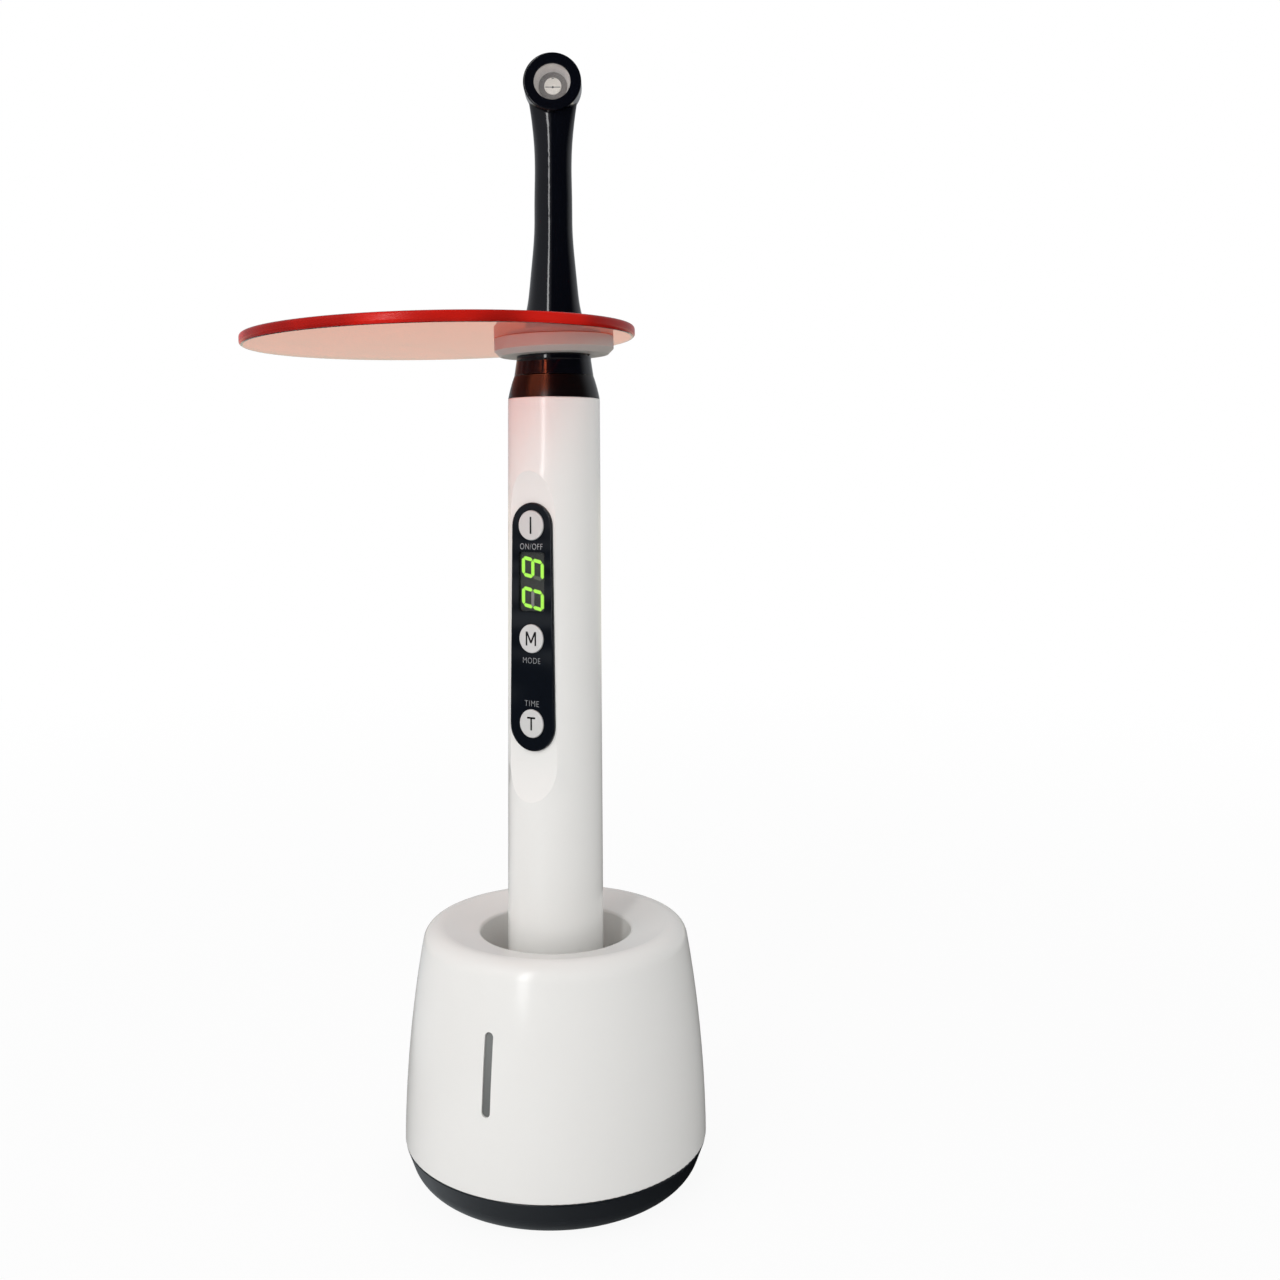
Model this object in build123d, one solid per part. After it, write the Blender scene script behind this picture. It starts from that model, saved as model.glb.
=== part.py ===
from build123d import *
import math
import os

# A cordless dental curing light standing in its round charging base.
# Lengths are in millimetres and angles in degrees. The origin is the centre of the foot
# pad's underside, +Z is up, and the light in the head shines towards -Y.

# Fits
slip = 0.05            # radial play between parts that slide or turn in each other
snug = 0.03            # radial play between parts that are assembled once
soft_play = 0.1        # play between the shield plate and its silicone mount
overrun = 1.0          # cutting solids run this far past the surface they open
level_band = 0.01      # edges this near to a level lie at it

# Charging base, outside
seam_height = 10.15          # joint between the black tray and the white shell
shell_foot_radius = 39.0
shell_middle_inset = 1.5     # half way up, from the foot's radius
shell_top_inset = 5.5        # at the shoulder's corner, from the foot's radius
shell_height = 65.1          # shoulder's corner before it is rounded
shoulder_round = 4.5
lip_radius = 19.6
lip_height = 62.1
lip_round = 0.9
shell_wall = 2.4
tray_foot_inset = 3.6        # corner at the tray's foot, from the shell's foot radius
tray_round = 7.4
tray_inner_round = 5.0
seam_round = 0.35

# Charging base, underneath
pad_setback = 0.4            # flat ring of the tray round the pad
pad_thickness = 1.6
pad_stand_out = 0.6          # how far the pad stands out of the tray
pad_edge_round = 0.4
tray_floor = 1.8
tongue_height = 2.5          # tray rim inside the shell
tongue_thickness = 1.5
base_screw_inset = 12.4      # from the shell's foot radius
base_screw_count = 4
base_screw_angle = 45.0      # of the first screw, from +X
base_screw_radius = 1.45
base_screw_head_radius = 2.7
base_screw_head_height = 1.8
base_screw_length = 12.0
base_screw_spare = 1.0       # hole left past the screw's end
base_cross_length = 3.0
base_cross_width = 0.7
base_cross_depth = 0.8
boss_radius = 3.6
tray_boss_radius = 4.3
tray_boss_height = 7.0       # level where the shell's bosses meet the tray's

# Well for the handpiece
seat_height = 28.7           # the handpiece stands here
well_floor = 2.0
well_wall = 2.0
well_play = 0.7              # the handpiece stands loosely
socket_depth = 10.0          # close-fitting bottom part of the well
funnel_height = 5.3
funnel_draft = 1.0           # the funnel narrows this much below the lip

# Ballast, circuit board and charging contacts in the base
ballast_clearance = 0.5
ballast_thickness = 5.0
ballast_hole_radius = 5.0
ballast_chamfer = 0.5
base_board_height = 15.0
board_thickness = 1.6
base_board_clearance = 0.9
board_post_inset = 3.2       # from the board's edge
board_post_radius = 2.6
board_post_count = 3
board_post_angle = 30.0      # of the first post, from +X
board_screw_radius = 1.0
board_screw_head_radius = 1.9
board_screw_head_height = 1.3
board_screw_length = 6.0
board_cross_length = 2.2
board_cross_width = 0.5
board_cross_depth = 0.6
board_tongue_width = 13.0
board_tongue_setback = 1.0   # from the power socket's front end
pin_ring_radius = 7.2        # outer charging pins from the axis
barrel_radius = 1.9
barrel_wall = 0.6
barrel_base = 1.0
barrel_lip = 0.8
barrel_recess = 0.5          # barrel tops lie below the well's floor
pin_radius = 0.9
pin_tip_round = 0.63
pin_collar_height = 2.5
pin_lift = 0.6               # the pins rise this far when the handpiece is taken out
pin_spring_wire = 0.2
pin_spring_turns = 6

# Power socket at the back
socket_width = 9.0
socket_box_height = 11.0
socket_box_depth = 13.3
socket_nose_radius = 4.0
socket_nose_recess = 0.6
socket_bore_radius = 2.8
socket_bore_depth = 9.5
socket_pin_radius = 1.0
socket_pin_setback = 0.9
socket_pin_root = 1.0        # the pin is held this deep in the socket's body
socket_wall_gap = 0.8

# Indicator light in the shell's front
indicator_turn = -23.5
indicator_bottom = 28.9
indicator_length = 19.4
indicator_width = 2.2
indicator_recess = 0.45
indicator_seat_depth = 0.75  # flat seat for the light guide, at its thinnest
guide_flange_width = 7.0
guide_flange_thickness = 1.2
guide_flange_margin = 2.0
guide_foot_height = 1.6
guide_foot_depth = 1.3
guide_seat_margin = 1.0      # the flat seat past the guide's ends
guide_seat_side = 1.5        # and past its sides
indicator_board_thickness = 1.0
status_led_count = 3
status_led_size = 1.8
status_led_height = 0.8

# Handle
handle_foot_radius = 12.5
handle_taper = 0.5
handle_above_panel = 26.95
handle_wall = 1.3            # at its thinnest, at the top
handle_edge_round = 0.3
cap_inset = 0.2
cap_height = 5.3
cap_edge_round = 1.4
cap_floor = 3.5
cap_spigot_height = 7.0
seal_thickness = 0.6
seal_inset = 0.4
contact_thickness = 0.8
centre_contact_radius = 3.2
centre_contact_stem = 1.4
ring_contact_width = 3.6
battery_radius = 9.1
battery_length = 65.0
battery_play = 0.2
battery_edge_round = 0.8
battery_spring_height = 5.6
battery_spring_radius = 4.5
battery_spring_wire = 0.4
battery_spring_turns = 3
battery_button_radius = 3.0
battery_button_height = 1.0
battery_contact_radius = 6.0
battery_contact_thickness = 0.5
divider_thickness = 3.5
board_slot_depth = 1.4

# Flat on the handle for the control panel, drawn facing -Y before it is turned
panel_turn = -31.0
flat_face = 9.95             # from the handle's axis
flat_head_setback = 3.5      # the flat starts to run out this far below the panel's upper end
flat_head_reach = 11.5       # and has run out this much higher
flat_foot_setback = 3.1      # and this far below the panel's lower end
flat_foot_reach = 10.0
frame_thickness = 1.2        # wall behind the panel

# Control panel
panel_rise = 2.3             # above the battery's divider
panel_top_width = 12.1
panel_foot_width = 13.5
panel_foot = 3.5             # from the panel's lower end to the time button
panel_head = 2.0             # from the power button to the panel's upper end
button_spacing = 14.4        # between the edges of the time and mode buttons
panel_proud = 0.8            # stands out of the flat
panel_sunk = 0.65
panel_edge_round = 0.3
panel_ledge = 1.0
button_travel = 0.3
button_proud = 0.3
button_play = 0.12
button_flange = 0.55
button_flange_thickness = 0.6
button_edge_round = 0.25
power_button_radius = 3.8
mode_button_radius = 3.65
time_button_radius = 3.6
display_gap_below = 3.2
display_gap_above = 2.95
display_window_length = 15.3
display_window_width = 7.9
display_window_round = 0.8
display_window_thickness = 0.5
display_play = 0.1           # round the display in the panel's opening
display_setback = 0.75       # behind the panel's face
segment_thickness = 0.15
segment_width = 0.9
digit_pitch = 7.75
digit_drop = 0.5             # the digits lie this far below the display's middle
digit_size_across = 5.8      # between the centre lines of the outer bars
digit_size_along = 4.3
digit_slant = 0.21
segment_gap = 0.12

# Circuit board in the handle
main_board_setback = 3.1     # behind the panel's back
main_board_thickness = 1.2
main_board_margin = 0.6
switch_size = 4.5
switch_height = 1.6
switch_plunger_radius = 1.5
switch_plunger_hold = 0.5
switch_hole_spare = 0.3
buzzer_radius = 4.4
buzzer_thickness = 3.6
buzzer_hole_radius = 1.0
buzzer_hole_depth = 1.0
buzzer_rise = 15.8            # above the panel's lower end

# Swivel joint and jack
collar_height = 5.8
collar_step = 0.05           # the collar is this much slimmer than what it meets
collar_bulge = 0.12
collar_spigot = 10.0
carrier_thickness = 3.5
carrier_gap = 0.5            # below the collar's spigot
bush_wall = 1.05
neck_spigot_radius = 6.95
neck_spigot_length = 13.3
swivel_gap = 0.2             # thin dark line between the collar and the neck
clip_thickness = 0.8
clip_depth = 0.65
clip_stand_out = 0.9
clip_opening = 3.0
clip_setback = 0.5
ring_seal_wire = 0.55
ring_seal_height = 7.0       # below the collar's top
jack_base_radius = 3.5
jack_base_length = 11.0
jack_radius = 1.75
jack_length = 14.0
jack_tip_round = 1.2
jack_tip_room = 0.5
jack_housing_radius = 4.0
jack_housing_length = 15.0
jack_flange_radius = 5.2
jack_flange_thickness = 0.8
jack_gap = 1.4

# Neck and head
neck_root_radius = 10.35
neck_root_height = 5.0       # from the swivel joint to the shield's seat
neck_root_taper = 0.6
neck_ledge = 0.75
neck_ledge_height = 1.0
neck_seat_height = 7.7
neck_length = 75.65          # from the swivel joint to the lens axis
# Outline of the neck: height above the shield's seat cylinder, radius
neck_outline = [(3.2, 7.45), (7.2, 6.65), (12.4, 6.1), (20.2, 5.35), (30.7, 4.97), (38.5, 4.85)]
# Flare under the head: depth below the lens axis, half width, half depth
flare_outline = [(15.5, 5.0, 4.75), (10.4, 5.45, 4.35), (5.2, 6.15, 3.95), (0.0, 7.3, 3.8)]
lead_bore_radius = 2.2
lead_radius = 1.1
head_radius = 7.55
head_front = 4.0             # ahead of the neck's axis
head_back = 4.6
head_back_round = 3.5
lamp_bore_radius = 5.9
bezel_thickness = 1.4
bezel_opening = 4.75
bezel_edge_round = 0.45
lens_radius = 5.3
lens_thickness = 0.5
lens_setback = 0.6
reflector_floor_radius = 3.75
reflector_back = 0.5         # ahead of the neck's axis
led_board_thickness = 0.9
led_radius = 2.25
led_height = 0.5
led_edge_round = 0.2
slug_back = 2.5              # behind the neck's axis

# Orange-red eye shield
shield_half_width = 51.8
shield_half_depth = 48.5
shield_thickness = 2.9
shield_offset_x = -30.45
shield_offset_y = 5.0
shield_edge_round = 0.9
shield_tilt = 1.6            # the soft mount sits a little askew, lower at -X
mount_bore_play = 0.35       # the mount tilts within this and clears the head's corners
mount_wall = 2.15
mount_flange_width = 4.0
mount_flange_thickness = 4.6
mount_flange_chamfer = 1.4
mount_top_width = 0.7
mount_top_thickness = 1.3
mount_top_chamfer = 0.4

# Levels and radii that follow
shell_middle_radius = shell_foot_radius - shell_middle_inset
shell_top_radius = shell_foot_radius - shell_top_inset
tray_foot_radius = shell_foot_radius - tray_foot_inset
base_screw_circle = shell_foot_radius - base_screw_inset
tray_bottom = pad_stand_out
tray_side_angle = math.atan2(seam_height - tray_bottom, shell_foot_radius - tray_foot_radius)
tray_flat_radius = tray_foot_radius - tray_round * math.tan(tray_side_angle / 2)
pad_radius = tray_flat_radius - pad_setback
tray_floor_top = pad_thickness + tray_floor
socket_radius = handle_foot_radius + well_play
funnel_radius = lip_radius - funnel_draft
base_board_top = base_board_height + board_thickness
base_board_radius = base_screw_circle - boss_radius - base_board_clearance
board_post_circle = base_board_radius - board_post_inset
ballast_radius = board_post_circle - board_post_radius - ballast_clearance
indicator_top = indicator_bottom + indicator_length
barrel_top = seat_height - barrel_recess
cap_top = seat_height + cap_height
cap_floor_top = seat_height + cap_floor
tube_bottom = cap_top + seal_thickness
handle_top_radius = handle_foot_radius - handle_taper
cap_radius = handle_foot_radius - cap_inset
ring_contact_inner = pin_ring_radius - ring_contact_width / 2
ring_contact_outer = pin_ring_radius + ring_contact_width / 2
tube_bore = handle_top_radius - handle_wall
panel_face = flat_face + panel_proud
panel_back = flat_face - panel_sunk
frame_back = panel_back - frame_thickness
main_board_front = panel_back - main_board_setback
display_face = panel_face - display_setback
battery_bottom = cap_floor_top + battery_spring_height
battery_top = battery_bottom + battery_length
divider_bottom = battery_top + battery_button_height + battery_contact_thickness
main_board_bottom = divider_bottom + divider_thickness - board_slot_depth
panel_bottom = divider_bottom + divider_thickness + panel_rise
time_button_height = panel_bottom + panel_foot + time_button_radius
mode_button_height = time_button_height + time_button_radius + button_spacing + mode_button_radius
display_bottom = mode_button_height + mode_button_radius + display_gap_below
display_height = display_bottom + display_window_length / 2
display_top = display_bottom + display_window_length
power_button_height = display_top + display_gap_above + power_button_radius
panel_top = power_button_height + power_button_radius + panel_head
flat_bottom = panel_bottom - flat_foot_setback
flat_top = panel_top - flat_head_setback
buzzer_height = panel_bottom + buzzer_rise
tube_top = panel_top + handle_above_panel
handle_length = tube_top - tube_bottom
collar_foot_radius = handle_top_radius - collar_step
collar_top_radius = neck_root_radius + collar_step
collar_middle_radius = (collar_foot_radius + collar_top_radius) / 2 + collar_bulge
collar_top = tube_top + collar_height
collar_bore = neck_spigot_radius + slip + bush_wall + snug
collar_bottom = tube_top - collar_spigot
carrier_top = collar_bottom - carrier_gap
main_board_top = carrier_top - carrier_thickness + board_slot_depth
neck_bottom = collar_top + swivel_gap
neck_spigot_bottom = neck_bottom - neck_spigot_length
shield_seat = neck_bottom + neck_root_height
neck_seat_top = shield_seat + neck_seat_height
neck_ledge_radius = neck_root_radius - neck_root_taper
neck_seat_radius = neck_ledge_radius - neck_ledge
lens_height = neck_bottom + neck_length
jack_base_bottom = neck_spigot_bottom
jack_base_top = jack_base_bottom + jack_base_length
jack_housing_top = jack_base_bottom - jack_gap
bezel_front = head_front + bezel_thickness
lens_front = bezel_front - lens_setback
reflector_front = lens_front - lens_thickness
mount_bore = neck_seat_radius + mount_bore_play
shield_hole_radius = mount_bore + mount_wall + soft_play
mount_flange_radius = shield_hole_radius + mount_flange_width
mount_top_radius = shield_hole_radius + mount_top_width
groove_bottom = mount_flange_thickness
groove_top = groove_bottom + shield_thickness + 2 * soft_play
mount_height = groove_top + mount_top_thickness
shield_rise = neck_ledge_radius * math.sin(math.radians(shield_tilt)) + snug

buttons = {
    "power": (power_button_height, power_button_radius),
    "mode": (mode_button_height, mode_button_radius),
    "time": (time_button_height, time_button_radius),
}
charge_pins = {
    "centre": (0.0, 0.0),
    "left": (-pin_ring_radius, 0.0),
    "right": (pin_ring_radius, 0.0),
}


def disc(radius, low, high, x=0.0, y=0.0):
    # Upright cylinder between two levels.
    return Pos(x, y, (low + high) / 2) * Cylinder(radius, high - low)


def tube(outer, inner, low, high, x=0.0, y=0.0):
    # Upright hollow cylinder between two levels.
    return disc(outer, low, high, x, y) - disc(inner, low - overrun, high + overrun, x, y)


def block(width, front, back, low, high):
    # Box centred on x = 0, from y = front to y = back.
    return Pos(0, (front + back) / 2, (low + high) / 2) * Box(width, back - front, high - low)


def rod(radius, front, back, height, x=0.0):
    # Cylinder along Y, from y = front to y = back.
    lying = Rot(90, 0, 0) * Cylinder(radius, back - front)
    return Pos(x, (front + back) / 2, height) * lying


def turned(points):
    # Solid of revolution about Z from (radius, height) points.
    outline = Polyline(*[(radius, 0, height) for radius, height in points], close=True)
    return revolve(make_face(outline), Axis.Z)


def around(count, radius, first_angle=0.0):
    # Centres spaced evenly on a circle.
    centres = []
    for step in range(count):
        angle = math.radians(first_angle + 360 * step / count)
        centres.append((radius * math.cos(angle), radius * math.sin(angle)))
    return centres


def level_edges(solid, level):
    # Circular edges of a solid that lie at one height.
    low, high = level - level_band, level + level_band
    return solid.edges().filter_by(GeomType.CIRCLE).filter_by_position(Axis.Z, low, high)


def cross_recess(length, width, depth):
    # Cross-shaped recess for a screwdriver, centred on the surface that it is cut into.
    return Box(length, width, 2 * depth) + Box(width, length, 2 * depth)


def coil_spring(radius, wire, low, high, turns, x=0.0, y=0.0):
    # Helical spring of round wire between two levels.
    rise = high - low - 2 * wire
    path = Pos(x, y, low + wire) * Helix(rise / turns, rise, radius)
    section = Plane(path @ 0, z_dir=path % 0) * Circle(wire)
    return sweep(section, path=path, is_frenet=True)


def front_slot(length, width, middle, inner, outer):
    # Upright stadium-shaped prism pointing along -Y.
    outline = Pos(0, middle) * SlotOverall(length, width, rotation=90)
    return extrude(Plane.XZ.offset(inner) * outline, outer - inner)


def handle_cone():
    # The handle's tapered outside.
    cone = Cone(handle_foot_radius, handle_top_radius, handle_length)
    return Pos(0, 0, (tube_bottom + tube_top) / 2) * cone


# Charging base

def shell_wall_radius(height, inset):
    # Radius of the base's curved outer wall, moved in by the inset.
    level_line = Axis((0, 0, height), (1, 0, 0))
    return shell_arc(inset).find_intersection_points(level_line)[0].X


def shell_arc(inset):
    # The base's outer wall from the seam up to the shoulder, moved in by the inset.
    middle_height = (seam_height + shell_height) / 2
    return ThreePointArc(
        (shell_foot_radius - inset, 0, seam_height),
        (shell_middle_radius - inset, 0, middle_height),
        (shell_top_radius - inset, 0, shell_height - inset),
    )


def roof_level(radius):
    # Top surface of the base, sloping down to the lip.
    slope = (shell_height - lip_height) / (shell_top_radius - lip_radius)
    return lip_height + slope * (radius - lip_radius)


def base_screw_places():
    return around(base_screw_count, base_screw_circle, base_screw_angle)


def board_post_places():
    return around(board_post_count, board_post_circle, board_post_angle)


def make_base_shell():
    outer_wall = shell_arc(0)
    inner_wall = shell_arc(shell_wall)
    socket_top = seat_height + socket_depth
    funnel_top = socket_top + funnel_height
    floor_bottom = seat_height - well_floor
    roof_outer = inner_wall @ 1
    roof_inner_radius = lip_radius + well_wall
    inside = [
        (outer_wall @ 1),
        (lip_radius, 0, lip_height),
        (funnel_radius, 0, funnel_top),
        (socket_radius, 0, socket_top),
        (socket_radius, 0, seat_height),
        (0, 0, seat_height),
        (0, 0, floor_bottom),
        (socket_radius + well_wall, 0, floor_bottom),
        (socket_radius + well_wall, 0, socket_top - well_wall / 2),
        (funnel_radius + well_wall, 0, funnel_top - well_wall / 2),
        (roof_inner_radius, 0, roof_level(roof_inner_radius) - shell_wall),
        (roof_outer.X, 0, roof_outer.Z),
    ]
    rim = Polyline(outer_wall @ 0, inner_wall @ 0)
    outline = make_face([outer_wall, Polyline(*inside), inner_wall, rim])
    corner = Vector(shell_top_radius, 0, shell_height)
    outline = fillet(outline.vertices().sort_by_distance(corner)[0], shoulder_round)
    lip = Vector(lip_radius, 0, lip_height)
    outline = fillet(outline.vertices().sort_by_distance(lip)[0], lip_round)
    seam = Vector(shell_foot_radius, 0, seam_height)
    outline = fillet(outline.vertices().sort_by_distance(seam)[0], seam_round)
    shell = revolve(outline, Axis.Z)
    boss_top = roof_level(base_screw_circle - boss_radius) - shell_wall / 2
    for x, y in base_screw_places():
        shell += disc(boss_radius, tray_boss_height, boss_top, x, y)
    shell += indicator_seat()
    shell -= indicator_slot(indicator_width + 2 * snug)
    for x, y in base_screw_places():
        hole_top = base_screw_bottom() + base_screw_length + base_screw_spare
        shell -= disc(base_screw_radius + snug, 0, hole_top, x, y)
    for x, y in charge_pins.values():
        shell -= disc(barrel_radius + snug, floor_bottom - overrun, seat_height + overrun, x, y)
    shell -= rod(socket_nose_radius + slip, ballast_radius, shell_foot_radius, socket_level())
    return shell


def indicator_plane():
    # Distance from the axis to the flat seat of the light guide inside the wall.
    top = indicator_top + guide_flange_margin + guide_seat_margin
    return shell_wall_radius(top, shell_wall) - indicator_seat_depth


def indicator_seat():
    # Thickened flat inside the wall that the light guide is fixed to.
    margin = guide_flange_margin + guide_seat_margin
    low = indicator_bottom - margin
    high = indicator_top + margin
    back = -indicator_plane()
    front = back - indicator_seat_depth - shell_wall / 2
    width = guide_flange_width + 2 * guide_seat_side
    return Rot(0, 0, indicator_turn) * block(width, front, back, low, high)


def indicator_slot(width):
    # Upright round-ended bar from the light guide's seat out through the shell's wall.
    length = indicator_length + width - indicator_width
    middle = (indicator_top + indicator_bottom) / 2
    slot = front_slot(length, width, middle, indicator_plane(), shell_foot_radius)
    return Rot(0, 0, indicator_turn) * slot


def base_screw_bottom():
    # Level of the underside of the base screws' shanks.
    return pad_thickness + base_screw_head_height + snug


def make_base_tray():
    rim_level = seam_height + tongue_height
    tongue_outer = shell_wall_radius(rim_level, shell_wall) - snug
    tray_inner_radius = tongue_outer - tongue_thickness
    outline = make_face(Polyline(
        (shell_foot_radius, 0, seam_height),
        (tray_foot_radius, 0, tray_bottom),
        (pad_radius + snug, 0, tray_bottom),
        (pad_radius + snug, 0, pad_thickness),
        (0, 0, pad_thickness),
        (0, 0, tray_floor_top),
        (tray_inner_radius, 0, tray_floor_top),
        (tray_inner_radius, 0, rim_level),
        (tongue_outer, 0, rim_level),
        (tongue_outer, 0, seam_height),
        close=True,
    ))
    foot = Vector(tray_foot_radius, 0, tray_bottom)
    outline = fillet(outline.vertices().sort_by_distance(foot)[0], tray_round)
    seam = Vector(shell_foot_radius, 0, seam_height)
    outline = fillet(outline.vertices().sort_by_distance(seam)[0], seam_round)
    inner_corner = Vector(tray_inner_radius, 0, tray_floor_top)
    outline = fillet(outline.vertices().sort_by_distance(inner_corner)[0], tray_inner_round)
    tray = revolve(outline, Axis.Z)
    for x, y in base_screw_places():
        tray += disc(tray_boss_radius, pad_thickness, tray_boss_height, x, y)
    for x, y in board_post_places():
        tray += disc(board_post_radius, tray_floor_top, base_board_height, x, y)
    spigot_top = tray_floor_top + ballast_thickness
    tray += disc(ballast_hole_radius - snug, tray_floor_top, spigot_top)
    for x, y in base_screw_places():
        tray -= disc(base_screw_head_radius + slip, 0, base_screw_bottom(), x, y)
        tray -= disc(base_screw_radius + slip, 0, tray_boss_height + overrun, x, y)
    for x, y in board_post_places():
        hole_bottom = base_board_height - board_screw_length
        tray -= disc(board_screw_radius + snug, hole_bottom, base_board_height + overrun, x, y)
    return tray


def make_foot_pad():
    pad = disc(pad_radius, 0, pad_thickness)
    return fillet(level_edges(pad, 0), pad_edge_round)


def make_base_screws():
    screws = Part()
    for x, y in base_screw_places():
        head_top = base_screw_bottom()
        head_bottom = head_top - base_screw_head_height
        screw = disc(base_screw_head_radius, head_bottom, head_top, x, y)
        screw += disc(base_screw_radius, head_top, head_top + base_screw_length, x, y)
        cross = cross_recess(base_cross_length, base_cross_width, base_cross_depth)
        screws += screw - Pos(x, y, head_bottom) * cross
    return screws


def make_ballast_plate():
    top = tray_floor_top + ballast_thickness
    plate = tube(ballast_radius, ballast_hole_radius, tray_floor_top, top)
    return chamfer(level_edges(plate, top), ballast_chamfer)


def make_base_board():
    tongue_end = inner_wall_at_socket() - socket_wall_gap - board_tongue_setback
    board = disc(base_board_radius, base_board_height, base_board_top)
    board += block(board_tongue_width, 0, tongue_end, base_board_height, base_board_top)
    for x, y in board_post_places():
        board -= disc(board_screw_radius + slip, 0, base_board_top + overrun, x, y)
    return board


def make_board_screws():
    screws = Part()
    for x, y in board_post_places():
        head_top = base_board_top + board_screw_head_height
        shank_bottom = base_board_top - board_screw_length
        screw = disc(board_screw_head_radius, base_board_top, head_top, x, y)
        screw += disc(board_screw_radius, shank_bottom, base_board_top, x, y)
        cross = cross_recess(board_cross_length, board_cross_width, board_cross_depth)
        screws += screw - Pos(x, y, head_top) * cross
    return screws


def socket_level():
    # Height of the power socket's axis.
    return base_board_top + socket_box_height / 2


def inner_wall_at_socket():
    # Inner radius of the shell's wall at the power socket.
    return shell_wall_radius(socket_level(), shell_wall)


def make_dc_socket():
    level = socket_level()
    body_end = inner_wall_at_socket() - socket_wall_gap
    nose_end = shell_wall_radius(level, 0) - socket_nose_recess
    body_start = body_end - socket_box_depth
    top = base_board_top + socket_box_height
    body = block(socket_width, body_start, body_end, base_board_top, top)
    body += rod(socket_nose_radius, body_end, nose_end, level)
    body -= rod(socket_bore_radius, nose_end - socket_bore_depth, nose_end + overrun, level)
    pin_start = nose_end - socket_bore_depth - socket_pin_root
    body += rod(socket_pin_radius, pin_start, nose_end - socket_pin_setback, level)
    return body


def make_charge_barrels():
    barrels = Part()
    for x, y in charge_pins.values():
        bore = barrel_radius - barrel_wall
        barrel = disc(barrel_radius, base_board_top, barrel_top, x, y)
        barrel -= disc(bore, base_board_top + barrel_base, barrel_top - barrel_lip, x, y)
        barrel -= disc(pin_radius + slip, base_board_top + barrel_base, barrel_top + overrun, x, y)
        barrels += barrel
    return barrels


def pin_collar_top():
    # The collar stops under the barrel's lip when the pin is all the way up.
    return barrel_top - barrel_lip - pin_lift


def make_charge_pin(place):
    x, y = place
    collar_top_level = pin_collar_top()
    tip = seat_height - snug
    collar_radius = barrel_radius - barrel_wall - slip
    collar_bottom_level = collar_top_level - pin_collar_height
    pin = disc(collar_radius, collar_bottom_level, collar_top_level, x, y)
    pin += disc(pin_radius, collar_top_level, tip, x, y)
    return fillet(level_edges(pin, tip), pin_tip_round)


def make_pin_spring(place):
    x, y = place
    bottom = base_board_top + barrel_base + snug
    top = pin_collar_top() - pin_collar_height - snug
    radius = barrel_radius - barrel_wall - pin_spring_wire - snug * 2
    return coil_spring(radius, pin_spring_wire, bottom, top, pin_spring_turns, x, y)


def make_light_guide():
    flange_low = indicator_bottom - guide_flange_margin
    flange_high = indicator_top + guide_flange_margin
    inner = guide_flange_thickness - indicator_plane()
    flange = block(guide_flange_width, -indicator_plane(), inner, flange_low, flange_high)
    foot_back = inner + guide_foot_depth
    low_foot = block(guide_flange_width, inner, foot_back, flange_low, flange_low + guide_foot_height)
    high_foot = block(guide_flange_width, inner, foot_back, flange_high - guide_foot_height, flange_high)
    guide = Rot(0, 0, indicator_turn) * (flange + low_foot + high_foot)
    arc = shell_arc(indicator_recess)
    rim = Polyline(arc @ 1, (0, 0, (arc @ 1).Z), (0, 0, seam_height), arc @ 0)
    inside_of_wall = revolve(make_face([arc, rim]), Axis.Z)
    bar = indicator_slot(indicator_width)
    return guide + (bar & inside_of_wall)


def make_indicator_board():
    front = indicator_plane() - guide_flange_thickness - guide_foot_depth
    low = indicator_bottom - guide_flange_margin
    high = indicator_top + guide_flange_margin
    board = block(guide_flange_width, -front, -(front - indicator_board_thickness), low, high)
    return Rot(0, 0, indicator_turn) * board


def make_status_leds():
    back = indicator_plane() - guide_flange_thickness - guide_foot_depth
    span = indicator_length - guide_foot_height * 2
    leds = Part()
    for step in range(status_led_count):
        middle = indicator_bottom + guide_foot_height + span * (step + 0.5) / status_led_count
        low = middle - status_led_size / 2
        led = block(status_led_size, -(back + status_led_height), -back, low, low + status_led_size)
        leds += Rot(0, 0, indicator_turn) * led
    return leds


# Handle

def make_end_cap():
    spigot_radius = tube_bore - slip
    bottom = disc(cap_radius, seat_height, cap_top)
    bottom = fillet(level_edges(bottom, seat_height), cap_edge_round)
    cap = bottom + disc(spigot_radius, cap_top, cap_top + cap_spigot_height)
    cap -= disc(battery_radius + battery_play, cap_floor_top, cap_top + cap_spigot_height + overrun)
    pocket_top = seat_height + contact_thickness + snug
    cap -= tube(ring_contact_outer + snug, ring_contact_inner - snug, seat_height, pocket_top)
    cap -= disc(centre_contact_radius + snug, seat_height, pocket_top)
    cap -= disc(centre_contact_stem + snug, seat_height, cap_floor_top + overrun)
    return cap


def make_centre_contact():
    contact = disc(centre_contact_radius, seat_height, seat_height + contact_thickness)
    return contact + disc(centre_contact_stem, seat_height, cap_floor_top)


def make_ring_contact():
    top = seat_height + contact_thickness
    return tube(ring_contact_outer, ring_contact_inner, seat_height, top)


def make_end_cap_seal():
    return tube(handle_foot_radius - seal_inset, tube_bore, cap_top, tube_bottom)


def make_battery_spring():
    bottom = cap_floor_top + snug
    top = battery_bottom - snug
    turns = battery_spring_turns
    return coil_spring(battery_spring_radius, battery_spring_wire, bottom, top, turns)


def make_battery_cell():
    can = disc(battery_radius, battery_bottom, battery_top)
    can = fillet(level_edges(can, battery_top) + level_edges(can, battery_bottom), battery_edge_round)
    return can + disc(battery_button_radius, battery_top, battery_top + battery_button_height)


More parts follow.
